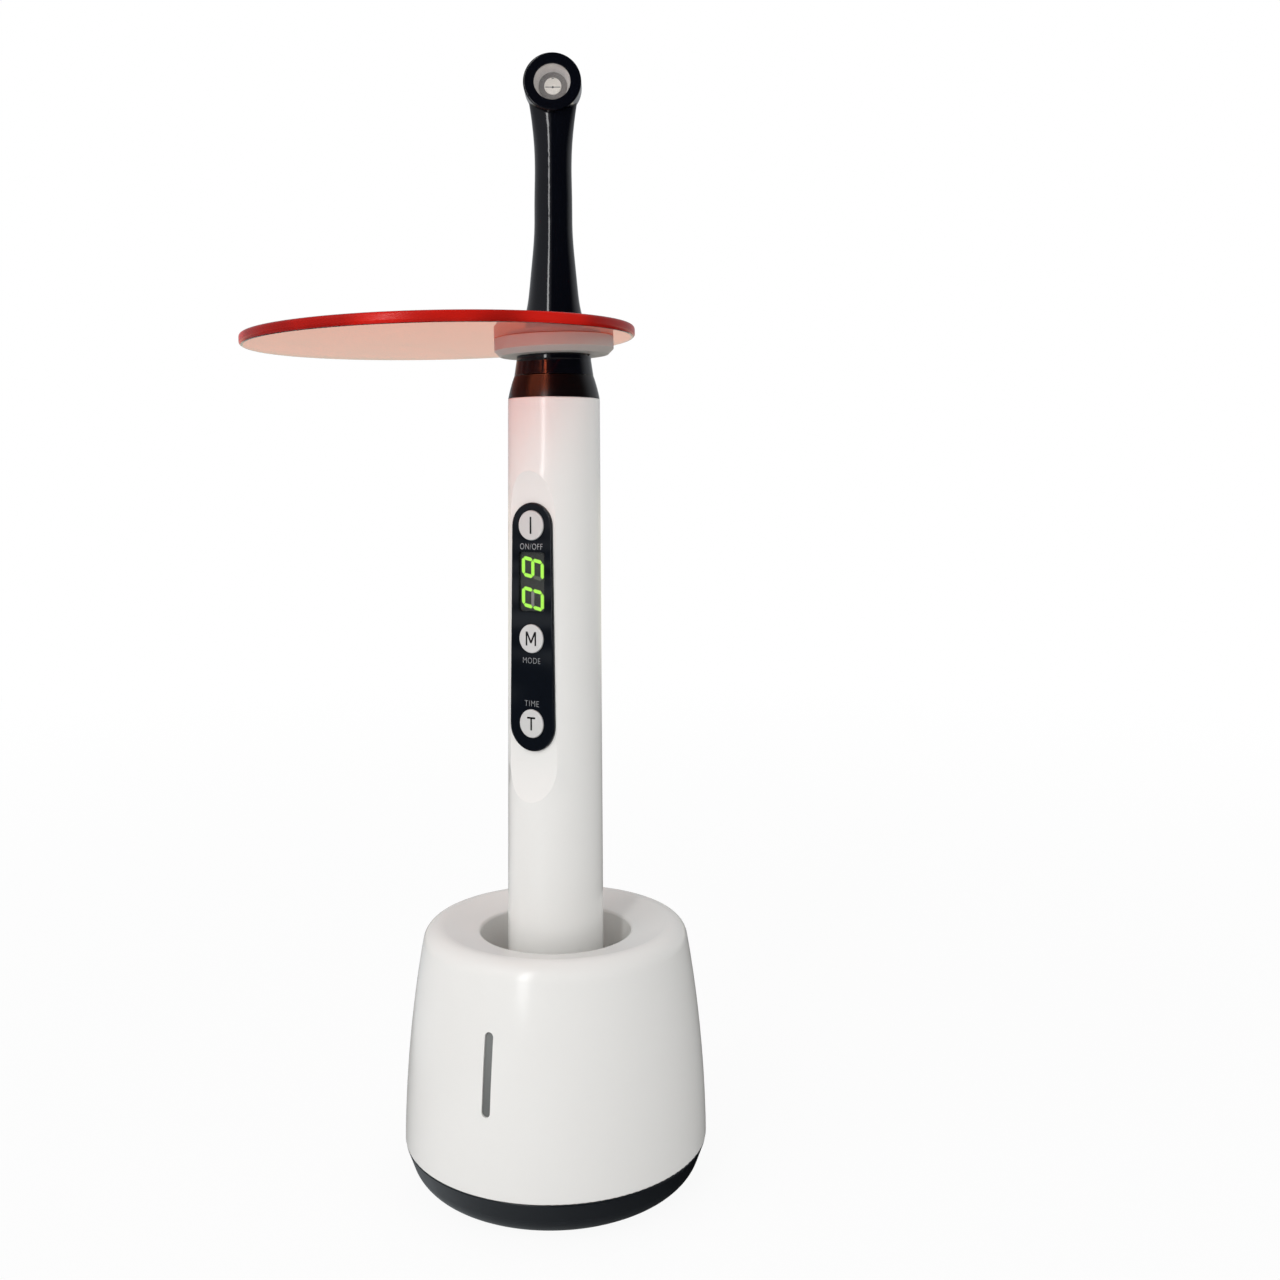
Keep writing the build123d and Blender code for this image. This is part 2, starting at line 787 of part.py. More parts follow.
def make_battery_contact():
    low = battery_top + battery_button_height
    return disc(battery_contact_radius, low, divider_bottom)


def board_slot(low, high):
    # Room for the edge of the circuit board, with a little play.
    front = -(main_board_front + snug)
    back = -(main_board_front - main_board_thickness - snug)
    return block(main_board_width() + 2 * snug, front, back, low, high)


def make_battery_divider():
    top = divider_bottom + divider_thickness
    divider = disc(tube_bore - slip, divider_bottom, top)
    divider -= behind_flat(frame_back - snug, divider_bottom - overrun, top + overrun)
    return faced(divider - board_slot(main_board_bottom, top + overrun))


def main_board_width():
    half = math.sqrt(tube_bore ** 2 - main_board_front ** 2)
    return 2 * (half - main_board_margin)


def make_main_board():
    back = -(main_board_front - main_board_thickness)
    low, high = main_board_bottom, main_board_top
    return faced(block(main_board_width(), -main_board_front, back, low, high))


def faced(solid):
    # Turns what was drawn facing -Y to the side where the control panel is.
    return Rot(0, 0, panel_turn) * solid


def run_out(reach, depth, level):
    # Round end of the flat: a cylinder across the handle that meets the flat at one level
    # and leaves the handle's side as far from there as the reach.
    radius = (reach ** 2 + depth ** 2) / (2 * depth)
    across = Rot(0, 90, 0) * Cylinder(radius, 4 * handle_foot_radius)
    return Pos(0, -(flat_face + radius), level) * across


def make_flat():
    # What the flat takes off the handle.
    outer = handle_foot_radius + overrun
    flat = block(2 * outer, -outer, -flat_face, flat_bottom, flat_top)
    flat += run_out(flat_foot_reach, handle_foot_radius - flat_face, flat_bottom)
    return flat + run_out(flat_head_reach, handle_top_radius - flat_face, flat_top)


def behind_flat(face, low, high):
    # Everything in the handle's bore that lies further out than a plane parallel to the flat.
    return block(2 * handle_foot_radius, -handle_foot_radius, -face, low, high)


def panel_prism(growth, inner, outer):
    # The panel's outline, round at both ends and wider at its foot, grown all round.
    upper = panel_top_width / 2
    lower = panel_foot_width / 2
    upper_middle = panel_top - upper
    lower_middle = panel_bottom + lower
    lean = math.asin((lower - upper) / (upper_middle - lower_middle))
    corners = []
    for middle, radius in ((lower_middle, lower + growth), (upper_middle, upper + growth)):
        corners.append((radius * math.cos(lean), middle + radius * math.sin(lean)))
    right_low, right_high = corners
    left_low = (-right_low[0], right_low[1])
    left_high = (-right_high[0], right_high[1])
    outline = make_face([
        Line(right_low, right_high),
        ThreePointArc(right_high, (0, panel_top + growth), left_high),
        Line(left_high, left_low),
        ThreePointArc(left_low, (0, panel_bottom - growth), right_low),
    ])
    return extrude(Plane.XZ.offset(inner) * outline, outer - inner)


def make_handle_tube():
    tube_solid = handle_cone()
    tube_solid = fillet(level_edges(tube_solid, tube_top), handle_edge_round)
    tube_solid -= disc(tube_bore, tube_bottom - overrun, tube_top + overrun)
    frame_low = flat_bottom - flat_foot_reach
    frame_high = flat_top + flat_head_reach
    frame = behind_flat(frame_back, frame_low, frame_high)
    frame &= disc(tube_bore + handle_wall / 2, frame_low, frame_high)
    frame -= disc(battery_radius + battery_play, frame_low - overrun, divider_bottom)
    tube_solid += faced(frame)
    outer = handle_foot_radius + overrun
    tube_solid -= faced(make_flat())
    tube_solid -= faced(panel_prism(slip, panel_back, outer))
    return tube_solid - faced(panel_prism(-panel_ledge, 0, outer))


def window_prism(growth, inner, outer):
    # Rounded rectangle of the panel's opening for the display, grown all round.
    width = display_window_width + 2 * growth
    length = display_window_length + 2 * growth
    outline = Pos(0, display_height) * RectangleRounded(width, length, display_window_round)
    return extrude(Plane.XZ.offset(inner) * outline, outer - inner)


def round_front_rim(solid, radius):
    # Rounds the outer rim of the face that looks towards -Y.
    front = solid.faces().sort_by(Axis.Y)[0]
    return fillet(front.outer_wire().edges(), radius)


def make_control_panel():
    panel = round_front_rim(panel_prism(0, panel_back, panel_face), panel_edge_round)
    for height, radius in buttons.values():
        panel -= rod(radius + button_play, -panel_face - overrun, 0, height)
    return faced(panel - window_prism(0, 0, panel_face))


def make_display_window():
    return faced(window_prism(-snug, panel_face - display_window_thickness, panel_face))


def button_front():
    return panel_face + button_proud


def button_flange_front():
    return panel_back - snug


def button_back():
    return button_flange_front() - button_flange_thickness


def make_button(name):
    height, radius = buttons[name]
    cap = round_front_rim(rod(radius, -button_front(), -button_back(), height), button_edge_round)
    return faced(cap + rod(radius + button_flange, -button_flange_front(), -button_back(), height))


def switch_top():
    return main_board_front + switch_height


def make_switch_plunger(name):
    height = buttons[name][0]
    inner = switch_top() - switch_plunger_hold
    return faced(rod(switch_plunger_radius, -button_back(), -inner, height))


def make_tact_switches():
    switches = Part()
    hole_end = switch_top() - switch_plunger_hold - button_travel - switch_hole_spare
    for height, radius in buttons.values():
        low = height - switch_size / 2
        body = block(switch_size, -switch_top(), -main_board_front, low, low + switch_size)
        body -= rod(switch_plunger_radius + slip, -switch_top() - overrun, -hole_end, height)
        switches += faced(body)
    return switches


def make_display_module():
    return faced(window_prism(-display_play, main_board_front, display_face))


def segment_bar(x, z, length, along_z):
    # One bar of a digit, with pointed ends, lying in the display's face.
    half = length / 2 - segment_gap
    tip = segment_width / 2
    points = [(-half, 0), (-half + tip, tip), (half - tip, tip), (half, 0)]
    points += [(half - tip, -tip), (-half + tip, -tip)]
    if along_z:
        points = [(across, along) for along, across in points]
    slanted = [(x + px, z + pz - digit_slant * (x + px)) for px, pz in points]
    outline = make_face(Polyline(*slanted, close=True))
    return outline


def digit_bars(reading):
    # The seven bars of one digit. The digit reads with the head to the left, so its
    # own up is towards +X here and its own right is down.
    across = digit_size_across / 2
    along = digit_size_along
    places = {
        "top": (across, 0, along, True),
        "middle": (0, 0, along, True),
        "bottom": (-across, 0, along, True),
        "upper_left": (across / 2, along / 2, across, False),
        "upper_right": (across / 2, -along / 2, across, False),
        "lower_left": (-across / 2, along / 2, across, False),
        "lower_right": (-across / 2, -along / 2, across, False),
    }
    unlit = {"6": ["upper_right"], "0": ["middle"]}[reading]
    lit_bars = [segment_bar(*place) for name, place in places.items() if name not in unlit]
    unlit_bars = [segment_bar(*places[name]) for name in unlit]
    return lit_bars, unlit_bars


def make_segments(lit):
    solids = Part()
    for reading, height in (("6", digit_pitch / 2), ("0", -digit_pitch / 2)):
        lit_bars, unlit_bars = digit_bars(reading)
        for bar in lit_bars if lit else unlit_bars:
            level = display_height - digit_drop + height
            placed = Plane.XZ.offset(display_face) * Pos(0, level) * bar
            solids += faced(extrude(placed, segment_thickness))
    return solids


def make_buzzer():
    front = -(main_board_front - main_board_thickness)
    back = front + buzzer_thickness
    can = rod(buzzer_radius, front, back, buzzer_height)
    can -= rod(buzzer_hole_radius, back - buzzer_hole_depth, back + overrun, buzzer_height)
    return faced(can)


def make_jack_carrier():
    low = carrier_top - carrier_thickness
    carrier = disc(tube_bore - slip, low, carrier_top)
    carrier -= disc(jack_housing_radius + snug, low - overrun, carrier_top + overrun)
    return faced(carrier - board_slot(low - overrun, main_board_top))


def make_jack_socket():
    top = jack_housing_top
    bottom = top - jack_housing_length
    housing = disc(jack_housing_radius, bottom, top)
    housing += disc(jack_flange_radius, carrier_top, carrier_top + jack_flange_thickness)
    bore_end = jack_base_bottom - jack_length - jack_tip_room
    return housing - disc(jack_radius + slip, bore_end, top + overrun)


def make_collar_ring():
    side = ThreePointArc(
        (collar_foot_radius, 0, tube_top),
        (collar_middle_radius, 0, tube_top + collar_height / 2),
        (collar_top_radius, 0, collar_top),
    )
    rest = Polyline(
        side @ 1,
        (collar_bore, 0, collar_top),
        (collar_bore, 0, collar_bottom),
        (tube_bore - slip, 0, collar_bottom),
        (tube_bore - slip, 0, tube_top),
        side @ 0,
    )
    return revolve(make_face([side, rest]), Axis.Z)


def make_swivel_bush():
    inner = neck_spigot_radius + slip
    return tube(inner + bush_wall, inner, clip_top() + slip, collar_top)


def clip_top():
    return neck_spigot_bottom + clip_setback + clip_thickness


def make_swivel_clip():
    low = clip_top() - clip_thickness
    inner = neck_spigot_radius - clip_depth + snug
    ring = tube(neck_spigot_radius + clip_stand_out, inner, low, clip_top())
    return ring - block(clip_opening, -neck_root_radius, 0, low - overrun, clip_top() + overrun)


def make_swivel_seal():
    major = neck_spigot_radius - ring_seal_wire - snug
    return Pos(0, 0, collar_top - ring_seal_height) * Torus(major, ring_seal_wire)


# Head, neck and shield

def make_head_shell():
    shell = turned([
        (0, neck_spigot_bottom),
        (neck_spigot_radius, neck_spigot_bottom),
        (neck_spigot_radius, neck_bottom),
        (neck_root_radius, neck_bottom),
        (neck_ledge_radius, shield_seat - neck_ledge_height),
        (neck_ledge_radius, shield_seat),
        (neck_seat_radius, shield_seat),
        (neck_seat_radius, neck_seat_top),
        (0, neck_seat_top),
    ])
    sections = [Plane.XY.offset(neck_seat_top) * Circle(neck_seat_radius)]
    for rise, radius in neck_outline:
        sections.append(Plane.XY.offset(neck_seat_top + rise) * Circle(radius))
    for drop, half_width, half_depth in flare_outline:
        flare = Ellipse(half_width, half_depth)
        sections.append(Plane.XY.offset(lens_height - drop) * flare)
    shell += loft(sections)
    barrel = rod(head_radius, -head_front, head_back, lens_height)
    rear_edge = barrel.edges().filter_by(GeomType.CIRCLE).sort_by(Axis.Y)[-1]
    shell += fillet(rear_edge, head_back_round)
    shell -= rod(head_radius, -bezel_front, -head_front, lens_height)
    shell -= rod(lamp_bore_radius, -head_front - overrun, slug_back + snug, lens_height)
    shell -= disc(lead_bore_radius, jack_base_top, lens_height)
    shell -= disc(jack_base_radius + snug, neck_spigot_bottom - overrun, jack_base_top)
    groove_low = clip_top() - clip_thickness - snug
    groove_inner = neck_spigot_radius - clip_depth
    groove_outer = neck_spigot_radius + overrun
    shell -= tube(groove_outer, groove_inner, groove_low, clip_top() + snug)
    seal_level = collar_top - ring_seal_height
    seal_room = ring_seal_wire + slip
    seal_inner = neck_spigot_radius - 2 * ring_seal_wire - 2 * snug
    shell -= tube(groove_outer, seal_inner, seal_level - seal_room, seal_level + seal_room)
    return shell


def make_jack_plug():
    tip_level = jack_base_bottom - jack_length
    plug = disc(jack_radius, tip_level, jack_base_bottom)
    plug = fillet(level_edges(plug, tip_level), jack_tip_round)
    return plug + disc(jack_base_radius, jack_base_bottom, jack_base_top)


def make_led_lead():
    slug_bottom = lens_height - lamp_bore_radius + snug
    return disc(lead_radius, jack_base_top, slug_bottom)


def make_heat_slug():
    front = -(reflector_back - led_board_thickness)
    return rod(lamp_bore_radius - snug, front, slug_back, lens_height)


def make_led_board():
    back = -(reflector_back - led_board_thickness)
    return rod(lamp_bore_radius - snug, -reflector_back, back, lens_height)


def make_led_emitter():
    front = -(reflector_back + led_height)
    emitter = rod(led_radius, front, -reflector_back, lens_height)
    rim = emitter.edges().filter_by(GeomType.CIRCLE).sort_by(Axis.Y)[0]
    return fillet(rim, led_edge_round)


def make_reflector():
    body = rod(lamp_bore_radius - snug, -head_front, -reflector_back, lens_height)
    body += rod(lens_radius, -reflector_front, -head_front, lens_height)
    depth = reflector_front - reflector_back
    cone = Cone(reflector_floor_radius, bezel_opening, depth)
    middle = (reflector_front + reflector_back) / 2
    return body - Pos(0, -middle, lens_height) * Rot(90, 0, 0) * cone


def make_lens_window():
    return rod(lens_radius, -lens_front, -reflector_front, lens_height)


def make_lens_bezel():
    bezel = rod(head_radius, -bezel_front, -head_front, lens_height)
    rim = bezel.edges().filter_by(GeomType.CIRCLE).sort_by(Axis.Y)[0]
    bezel = fillet(rim, bezel_edge_round)
    inside_end = -head_front + overrun
    bezel -= rod(bezel_opening, -bezel_front - overrun, inside_end, lens_height)
    return bezel - rod(lens_radius + snug, -lens_front, inside_end, lens_height)


def on_neck(solid):
    # Sets what was drawn level, with the mount's underside at zero, askew on the neck's ledge.
    middle = mount_height / 2
    tilted = Rot(0, -shield_tilt, 0) * (Pos(0, 0, -middle) * solid)
    return Pos(0, 0, shield_seat + shield_rise + middle) * tilted


def make_shield_mount():
    groove_radius = shield_hole_radius - soft_play
    flange = disc(mount_flange_radius, 0, groove_bottom)
    flange = chamfer(level_edges(flange, 0), mount_flange_chamfer)
    upper = disc(mount_top_radius, groove_top, mount_height)
    upper = chamfer(level_edges(upper, mount_height), mount_top_chamfer)
    mount = flange + disc(groove_radius, 0, mount_height) + upper
    return on_neck(mount - disc(mount_bore, -overrun, mount_height + overrun))


def make_shield_plate():
    low = groove_bottom + soft_play
    outline = Pos(shield_offset_x, shield_offset_y) * Ellipse(shield_half_width, shield_half_depth)
    plate = extrude(Plane.XY.offset(low) * outline, shield_thickness)
    edges = plate.faces().filter_by(Axis.Z).edges()
    plate = fillet(edges, shield_edge_round)
    hole = disc(shield_hole_radius, low - overrun, low + shield_thickness + overrun)
    return on_neck(plate - hole)


def build_nodes():
    nodes = {
        "foot_pad": make_foot_pad(),
        "base_tray": make_base_tray(),
        "base_screws": make_base_screws(),
        "ballast_plate": make_ballast_plate(),
        "base_board": make_base_board(),
        "board_screws": make_board_screws(),
        "dc_socket": make_dc_socket(),
        "charge_pin_barrels": make_charge_barrels(),
        "light_guide": make_light_guide(),
        "indicator_board": make_indicator_board(),
        "status_leds": make_status_leds(),
        "base_shell": make_base_shell(),
        "end_cap": make_end_cap(),
        "cap_centre_contact": make_centre_contact(),
        "cap_ring_contact": make_ring_contact(),
        "end_cap_seal": make_end_cap_seal(),
        "battery_spring": make_battery_spring(),
        "battery_cell": make_battery_cell(),
        "battery_contact": make_battery_contact(),
        "battery_divider": make_battery_divider(),
        "main_board": make_main_board(),
        "tact_switches": make_tact_switches(),
        "display_module": make_display_module(),
        "lit_segments": make_segments(True),
        "unlit_segments": make_segments(False),
        "display_window": make_display_window(),
        "control_panel": make_control_panel(),
        "handle_tube": make_handle_tube(),
        "buzzer": make_buzzer(),
        "jack_carrier": make_jack_carrier(),
        "jack_socket": make_jack_socket(),
        "collar_ring": make_collar_ring(),
        "swivel_bush": make_swivel_bush(),
        "head_shell": make_head_shell(),
        "swivel_clip": make_swivel_clip(),
        "swivel_seal": make_swivel_seal(),
        "jack_plug": make_jack_plug(),
        "led_lead": make_led_lead(),
        "heat_slug": make_heat_slug(),
        "led_board": make_led_board(),
        "led_emitter": make_led_emitter(),
        "reflector": make_reflector(),
        "lens_window": make_lens_window(),
        "lens_bezel": make_lens_bezel(),
        "shield_mount": make_shield_mount(),
        "shield_plate": make_shield_plate(),
    }
    for name in buttons:
        nodes[name + "_button"] = make_button(name)
        nodes[name + "_switch_plunger"] = make_switch_plunger(name)
    for name, place in charge_pins.items():
        nodes["charge_pin_" + name] = make_charge_pin(place)
        nodes["pin_spring_" + name] = make_pin_spring(place)
    return nodes


os.makedirs("parts", exist_ok=True)
for node_name, node in build_nodes().items():
    export_step(node, "parts/" + node_name + ".step")
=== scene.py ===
import bpy
import bmesh
import math
from mathutils import Matrix, Vector


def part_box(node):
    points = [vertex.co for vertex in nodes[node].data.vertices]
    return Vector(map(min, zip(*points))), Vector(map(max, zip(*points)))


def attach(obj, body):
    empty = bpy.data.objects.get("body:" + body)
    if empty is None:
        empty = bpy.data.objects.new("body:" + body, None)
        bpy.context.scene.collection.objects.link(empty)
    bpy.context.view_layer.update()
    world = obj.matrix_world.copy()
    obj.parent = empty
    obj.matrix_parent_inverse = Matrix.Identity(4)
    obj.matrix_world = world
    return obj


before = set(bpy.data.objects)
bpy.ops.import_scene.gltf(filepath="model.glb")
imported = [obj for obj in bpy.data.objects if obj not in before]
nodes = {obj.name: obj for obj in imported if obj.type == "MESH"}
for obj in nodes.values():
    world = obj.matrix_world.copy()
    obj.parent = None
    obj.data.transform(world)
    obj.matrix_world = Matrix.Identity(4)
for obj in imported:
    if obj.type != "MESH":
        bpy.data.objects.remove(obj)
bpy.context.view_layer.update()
scene = bpy.context.scene
scene.view_settings.view_transform = "Standard"
millimetre = 0.001
print("frame loaded,", len(nodes), "nodes")


# Node helpers

def addNode(tree, kind, **values):
    # A node of that kind, with its own settings and unlinked inputs filled in.
    node = tree.nodes.new(kind)
    for name, value in values.items():
        if name in node.inputs:
            node.inputs[name].default_value = value
        else:
            setattr(node, name, value)
    return node


def calculate(tree, operation, first, second=0.0):
    node = addNode(tree, "ShaderNodeMath", operation=operation)
    for socket, value in zip(node.inputs, (first, second)):
        if isinstance(value, (int, float)):
            socket.default_value = value
        else:
            tree.links.new(value, socket)
    return node.outputs[0]


def between(tree, source, low, high, fromLow=0.0, fromHigh=1.0, smooth=False):
    # Moves a value from one range to another.
    node = addNode(tree, "ShaderNodeMapRange")
    node.interpolation_type = "SMOOTHSTEP" if smooth else "LINEAR"
    node.inputs["From Min"].default_value = fromLow
    node.inputs["From Max"].default_value = fromHigh
    node.inputs["To Min"].default_value = low
    node.inputs["To Max"].default_value = high
    tree.links.new(source, node.inputs["Value"])
    return node.outputs["Result"]


def mixColour(tree, share, first, second):
    node = addNode(tree, "ShaderNodeMix", data_type="RGBA")
    tree.links.new(share, node.inputs["Factor"])
    node.inputs[6].default_value = (*first, 1)
    node.inputs[7].default_value = (*second, 1)
    return node.outputs[2]


def mixShaders(tree, share, first, second):
    node = addNode(tree, "ShaderNodeMixShader")
    for value, socket in zip((share, first, second), node.inputs):
        tree.links.new(value, socket)
    return node.outputs[0]


def axesOf(tree, source):
    # The X, Y and Z of a vector.
    node = addNode(tree, "ShaderNodeSeparateXYZ")
    tree.links.new(source, node.inputs["Vector"])
    return node.outputs


def objectNoise(tree, scale, detail=3.0, stretch=(1.0, 1.0, 1.0)):
    # Noise in the piece's own space, with the scale in features per metre.
    coords = addNode(tree, "ShaderNodeTexCoord")
    mapping = addNode(tree, "ShaderNodeMapping")
    mapping.inputs["Scale"].default_value = stretch
    noise = addNode(tree, "ShaderNodeTexNoise", Scale=scale, Detail=detail)
    tree.links.new(coords.outputs["Object"], mapping.inputs["Vector"])
    tree.links.new(mapping.outputs["Vector"], noise.inputs["Vector"])
    return noise.outputs["Fac"]


def startMaterial(name):
    material = bpy.data.materials.new(name)
    material.use_nodes = True
    tree = material.node_tree
    tree.nodes.clear()
    output = addNode(tree, "ShaderNodeOutputMaterial")
    shader = addNode(tree, "ShaderNodeBsdfPrincipled")
    tree.links.new(shader.outputs["BSDF"], output.inputs["Surface"])
    return material, tree, shader


def shiftColour(colour, amount):
    return tuple(min(1.0, max(0.0, part * (1 + amount))) for part in colour)


def addTint(tree, shader, cloud, colour, darker, lighter):
    # Lets the colour drift with the cloud, by these shares of itself.
    tint = mixColour(tree, cloud, shiftColour(colour, -darker), shiftColour(colour, lighter))
    tree.links.new(tint, shader.inputs["Base Color"])
    return tint


def addGloss(tree, shader, cloud, gloss, low=0.3, high=0.7, smooth=False):
    # Lets the roughness drift with the cloud.
    rough = between(tree, cloud, *gloss, low, high, smooth)
    tree.links.new(rough, shader.inputs["Roughness"])


def addBump(tree, shader, height, distance, strength):
    bump = addNode(tree, "ShaderNodeBump", Strength=strength, Distance=distance * millimetre)
    tree.links.new(height, bump.inputs["Height"])
    tree.links.new(bump.outputs["Normal"], shader.inputs["Normal"])


# Kinds of finish: colours are linear, gloss is the range of the roughness

def polishedPlastic(name, colour, gloss, shade, clouds):
    # Polished plastic: one broad, very faint change of shade and gloss.
    material, tree, shader = startMaterial(name)
    cloud = objectNoise(tree, clouds, 0)
    addTint(tree, shader, cloud, colour, shade, shade)
    addGloss(tree, shader, cloud, gloss, 0.1, 0.9, True)
    return material


def mouldedPlastic(name, colour, gloss, grain, shade=0.03, clouds=60):
    # Moulded plastic: faint cloudy shade, uneven gloss and the mould's fine grain.
    material, tree, shader = startMaterial(name)
    addTint(tree, shader, objectNoise(tree, clouds, 4), colour, shade, shade)
    addGloss(tree, shader, objectNoise(tree, clouds * 3, 5, (1, 1, 0.4)), gloss)
    addBump(tree, shader, objectNoise(tree, 2500, 2), grain, strength=0.6)
    return material


def brushedMetal(name, colour, gloss, streak=(1, 1, 1), grain=0.01):
    # Metal with fine scratches that can be drawn out along an axis.
    material, tree, shader = startMaterial(name)
    shader.inputs["Metallic"].default_value = 1.0
    scratch = objectNoise(tree, 900, 4, streak)
    addTint(tree, shader, scratch, colour, darker=0.12, lighter=0.06)
    addGloss(tree, shader, scratch, gloss)
    addBump(tree, shader, scratch, grain, strength=0.5)
    return material


def ribbedRubber(name, colour, pitch):
    # Rubber with a fine dimpled face.
    material, tree, shader = startMaterial(name)
    coords = addNode(tree, "ShaderNodeTexCoord")
    cells = addNode(tree, "ShaderNodeTexVoronoi", Scale=1 / (pitch * millimetre))
    cells.inputs["Randomness"].default_value = 0.15
    tree.links.new(coords.outputs["Object"], cells.inputs["Vector"])
    addTint(tree, shader, objectNoise(tree, 120, 5), colour, darker=0.15, lighter=0.25)
    shader.inputs["Roughness"].default_value = 0.75
    addBump(tree, shader, cells.outputs["Distance"], 0.12, strength=0.8)
    return material


def circuitLaminate(name, colour, track):
    # Solder mask with square copper tracks showing through it.
    material, tree, shader = startMaterial(name)
    coords = addNode(tree, "ShaderNodeTexCoord")
    tracks = addNode(tree, "ShaderNodeTexBrick", Scale=260.0)
    tracks.inputs["Mortar Size"].default_value = 0.06
    tracks.inputs["Color1"].default_value = (*colour, 1)
    tracks.inputs["Color2"].default_value = (*shiftColour(colour, 0.2), 1)
    tracks.inputs["Mortar"].default_value = (*track, 1)
    tree.links.new(coords.outputs["Object"], tracks.inputs["Vector"])
    tree.links.new(tracks.outputs["Color"], shader.inputs["Base Color"])
    addGloss(tree, shader, objectNoise(tree, 700, 2), (0.3, 0.45), 0.0, 1.0)
    return material


def clearGlazing(name, colour, opacity, gloss):
    # Thin clear part: mostly seen through, with the shine of its surface.
    material, tree, shader = startMaterial(name)
    haze = objectNoise(tree, 400, 4)
    addTint(tree, shader, haze, colour, darker=0.1, lighter=0.1)
    addGloss(tree, shader, haze, gloss)
    shader.inputs["Alpha"].default_value = opacity
    return material


def milkySilicone(name, colour):
    # Cloudy soft silicone that light goes a little way into.
    material, tree, shader = startMaterial(name)
    addTint(tree, shader, objectNoise(tree, 180, 4), colour, darker=0.06, lighter=0.05)
    shader.inputs["Subsurface Weight"].default_value = 0.6
    shader.inputs["Subsurface Radius"].default_value = (1.0, 0.8, 0.7)
    shader.inputs["Subsurface Scale"].default_value = 2.0 * millimetre
    addGloss(tree, shader, objectNoise(tree, 300, 3), (0.38, 0.55), 0.0, 1.0)
    addBump(tree, shader, objectNoise(tree, 1500, 2), 0.01, strength=0.5)
    return material


def glowingSegment(name, colour, strength):
    # A lit bar of the display.
    material, tree, shader = startMaterial(name)
    tint = addTint(tree, shader, objectNoise(tree, 900, 2), colour, darker=0.08, lighter=0.08)
    tree.links.new(tint, shader.inputs["Emission Color"])
    shader.inputs["Emission Strength"].default_value = strength
    shader.inputs["Roughness"].default_value = 0.5
    return material


def heightPlastic(name, low, high, levels, gloss):
    # Plastic whose shade changes between two heights of the object, in millimetres.
    material, tree, shader = startMaterial(name)
    coords = addNode(tree, "ShaderNodeTexCoord")
    height = axesOf(tree, coords.outputs["Object"])["Z"]
    bottom, top = (level * millimetre for level in levels)
    rise = between(tree, height, 0.0, 1.0, bottom, top, True)
    tree.links.new(mixColour(tree, rise, low, high), shader.inputs["Base Color"])
    addGloss(tree, shader, objectNoise(tree, 150, 3), gloss)
    return material


# The eye shield's plate

eyeShield = {
    "gloss": (0.02, 0.05),
    "shine": 0.38,                     # 0.5 is the full shine of bare acrylic
    "density": 700.0,                  # how strongly the dye takes light, per metre
    "dye": (0.99, 0.35, 0.0),
    "lampTint": (0.84, 0.38, 0.24),    # what the lamps' light turns into behind the plate
    "edgeFrom": 0.8,                   # all rim where the surface faces up or down less than this
    "edgeTo": 0.97,                    # and all face where it does so more than this
    # the rim's colours and glow below are painted light, an emissive rim in brighter and darker
    # stretches
    "edge": (0.56, 0.008, 0.003),
    "edgeDark": (0.26, 0.003, 0.001),
    "edgePaintedGlow": 0.14,
    "edgeShine": 0.2,
    "edgePaintedStretches": (0.38, 0.62),
}


def paintedRimGlow(tree, shield):
    # Painted light: the rim glows by emission, in painted brighter and darker stretches, standing in for
    # the light that the plate gathers at its edge.
    rim = addNode(tree, "ShaderNodeBsdfPrincipled", Roughness=0.25)
    rim.inputs["Specular IOR Level"].default_value = shield["edgeShine"]
    patches = between(tree, objectNoise(tree, 45, 1), 0.0, 1.0, *shield["edgePaintedStretches"], True)
    tint = mixColour(tree, patches, shield["edgeDark"], shield["edge"])
    tree.links.new(tint, rim.inputs["Base Color"])
    tree.links.new(tint, rim.inputs["Emission Color"])
    rim.inputs["Emission Strength"].default_value = shield["edgePaintedGlow"]
    return rim.outputs["BSDF"]


def shieldAcrylic(name, shield):
    # Clear plate dyed through, which the lamps shine through as tinted light.
    material, tree, shader = startMaterial(name)
    output = tree.nodes["Material Output"]
    shader.inputs["Base Color"].default_value = (1, 1, 1, 1)
    shader.inputs["Transmission Weight"].default_value = 1.0
    shader.inputs["IOR"].default_value = 1.49
    shader.inputs["Specular IOR Level"].default_value = shield["shine"]
    addGloss(tree, shader, objectNoise(tree, 90, 5), shield["gloss"])
    absorb = addNode(tree, "ShaderNodeVolumeAbsorption", Density=shield["density"])
    absorb.inputs["Color"].default_value = (*shield["dye"], 1)
    tree.links.new(absorb.outputs["Volume"], output.inputs["Volume"])
    coords = addNode(tree, "ShaderNodeTexCoord")
    facing = calculate(tree, "ABSOLUTE", axesOf(tree, coords.outputs["Normal"])["Z"])
    # where the surface faces sideways, the painted rim glow takes the place of the clear plate
    onRim = between(tree, facing, 1.0, 0.0, shield["edgeFrom"], shield["edgeTo"], True)
    plate = mixShaders(tree, onRim, shader.outputs["BSDF"], paintedRimGlow(tree, shield))
    path = addNode(tree, "ShaderNodeLightPath")
    lampTint = addNode(tree, "ShaderNodeBsdfTransparent")
    lampTint.inputs["Color"].default_value = (*shield["lampTint"], 1)
    whole = mixShaders(tree, path.outputs["Is Shadow Ray"], plate, lampTint.outputs["BSDF"])
    tree.links.new(whole, output.inputs["Surface"])
    return material


# The finishes of this object

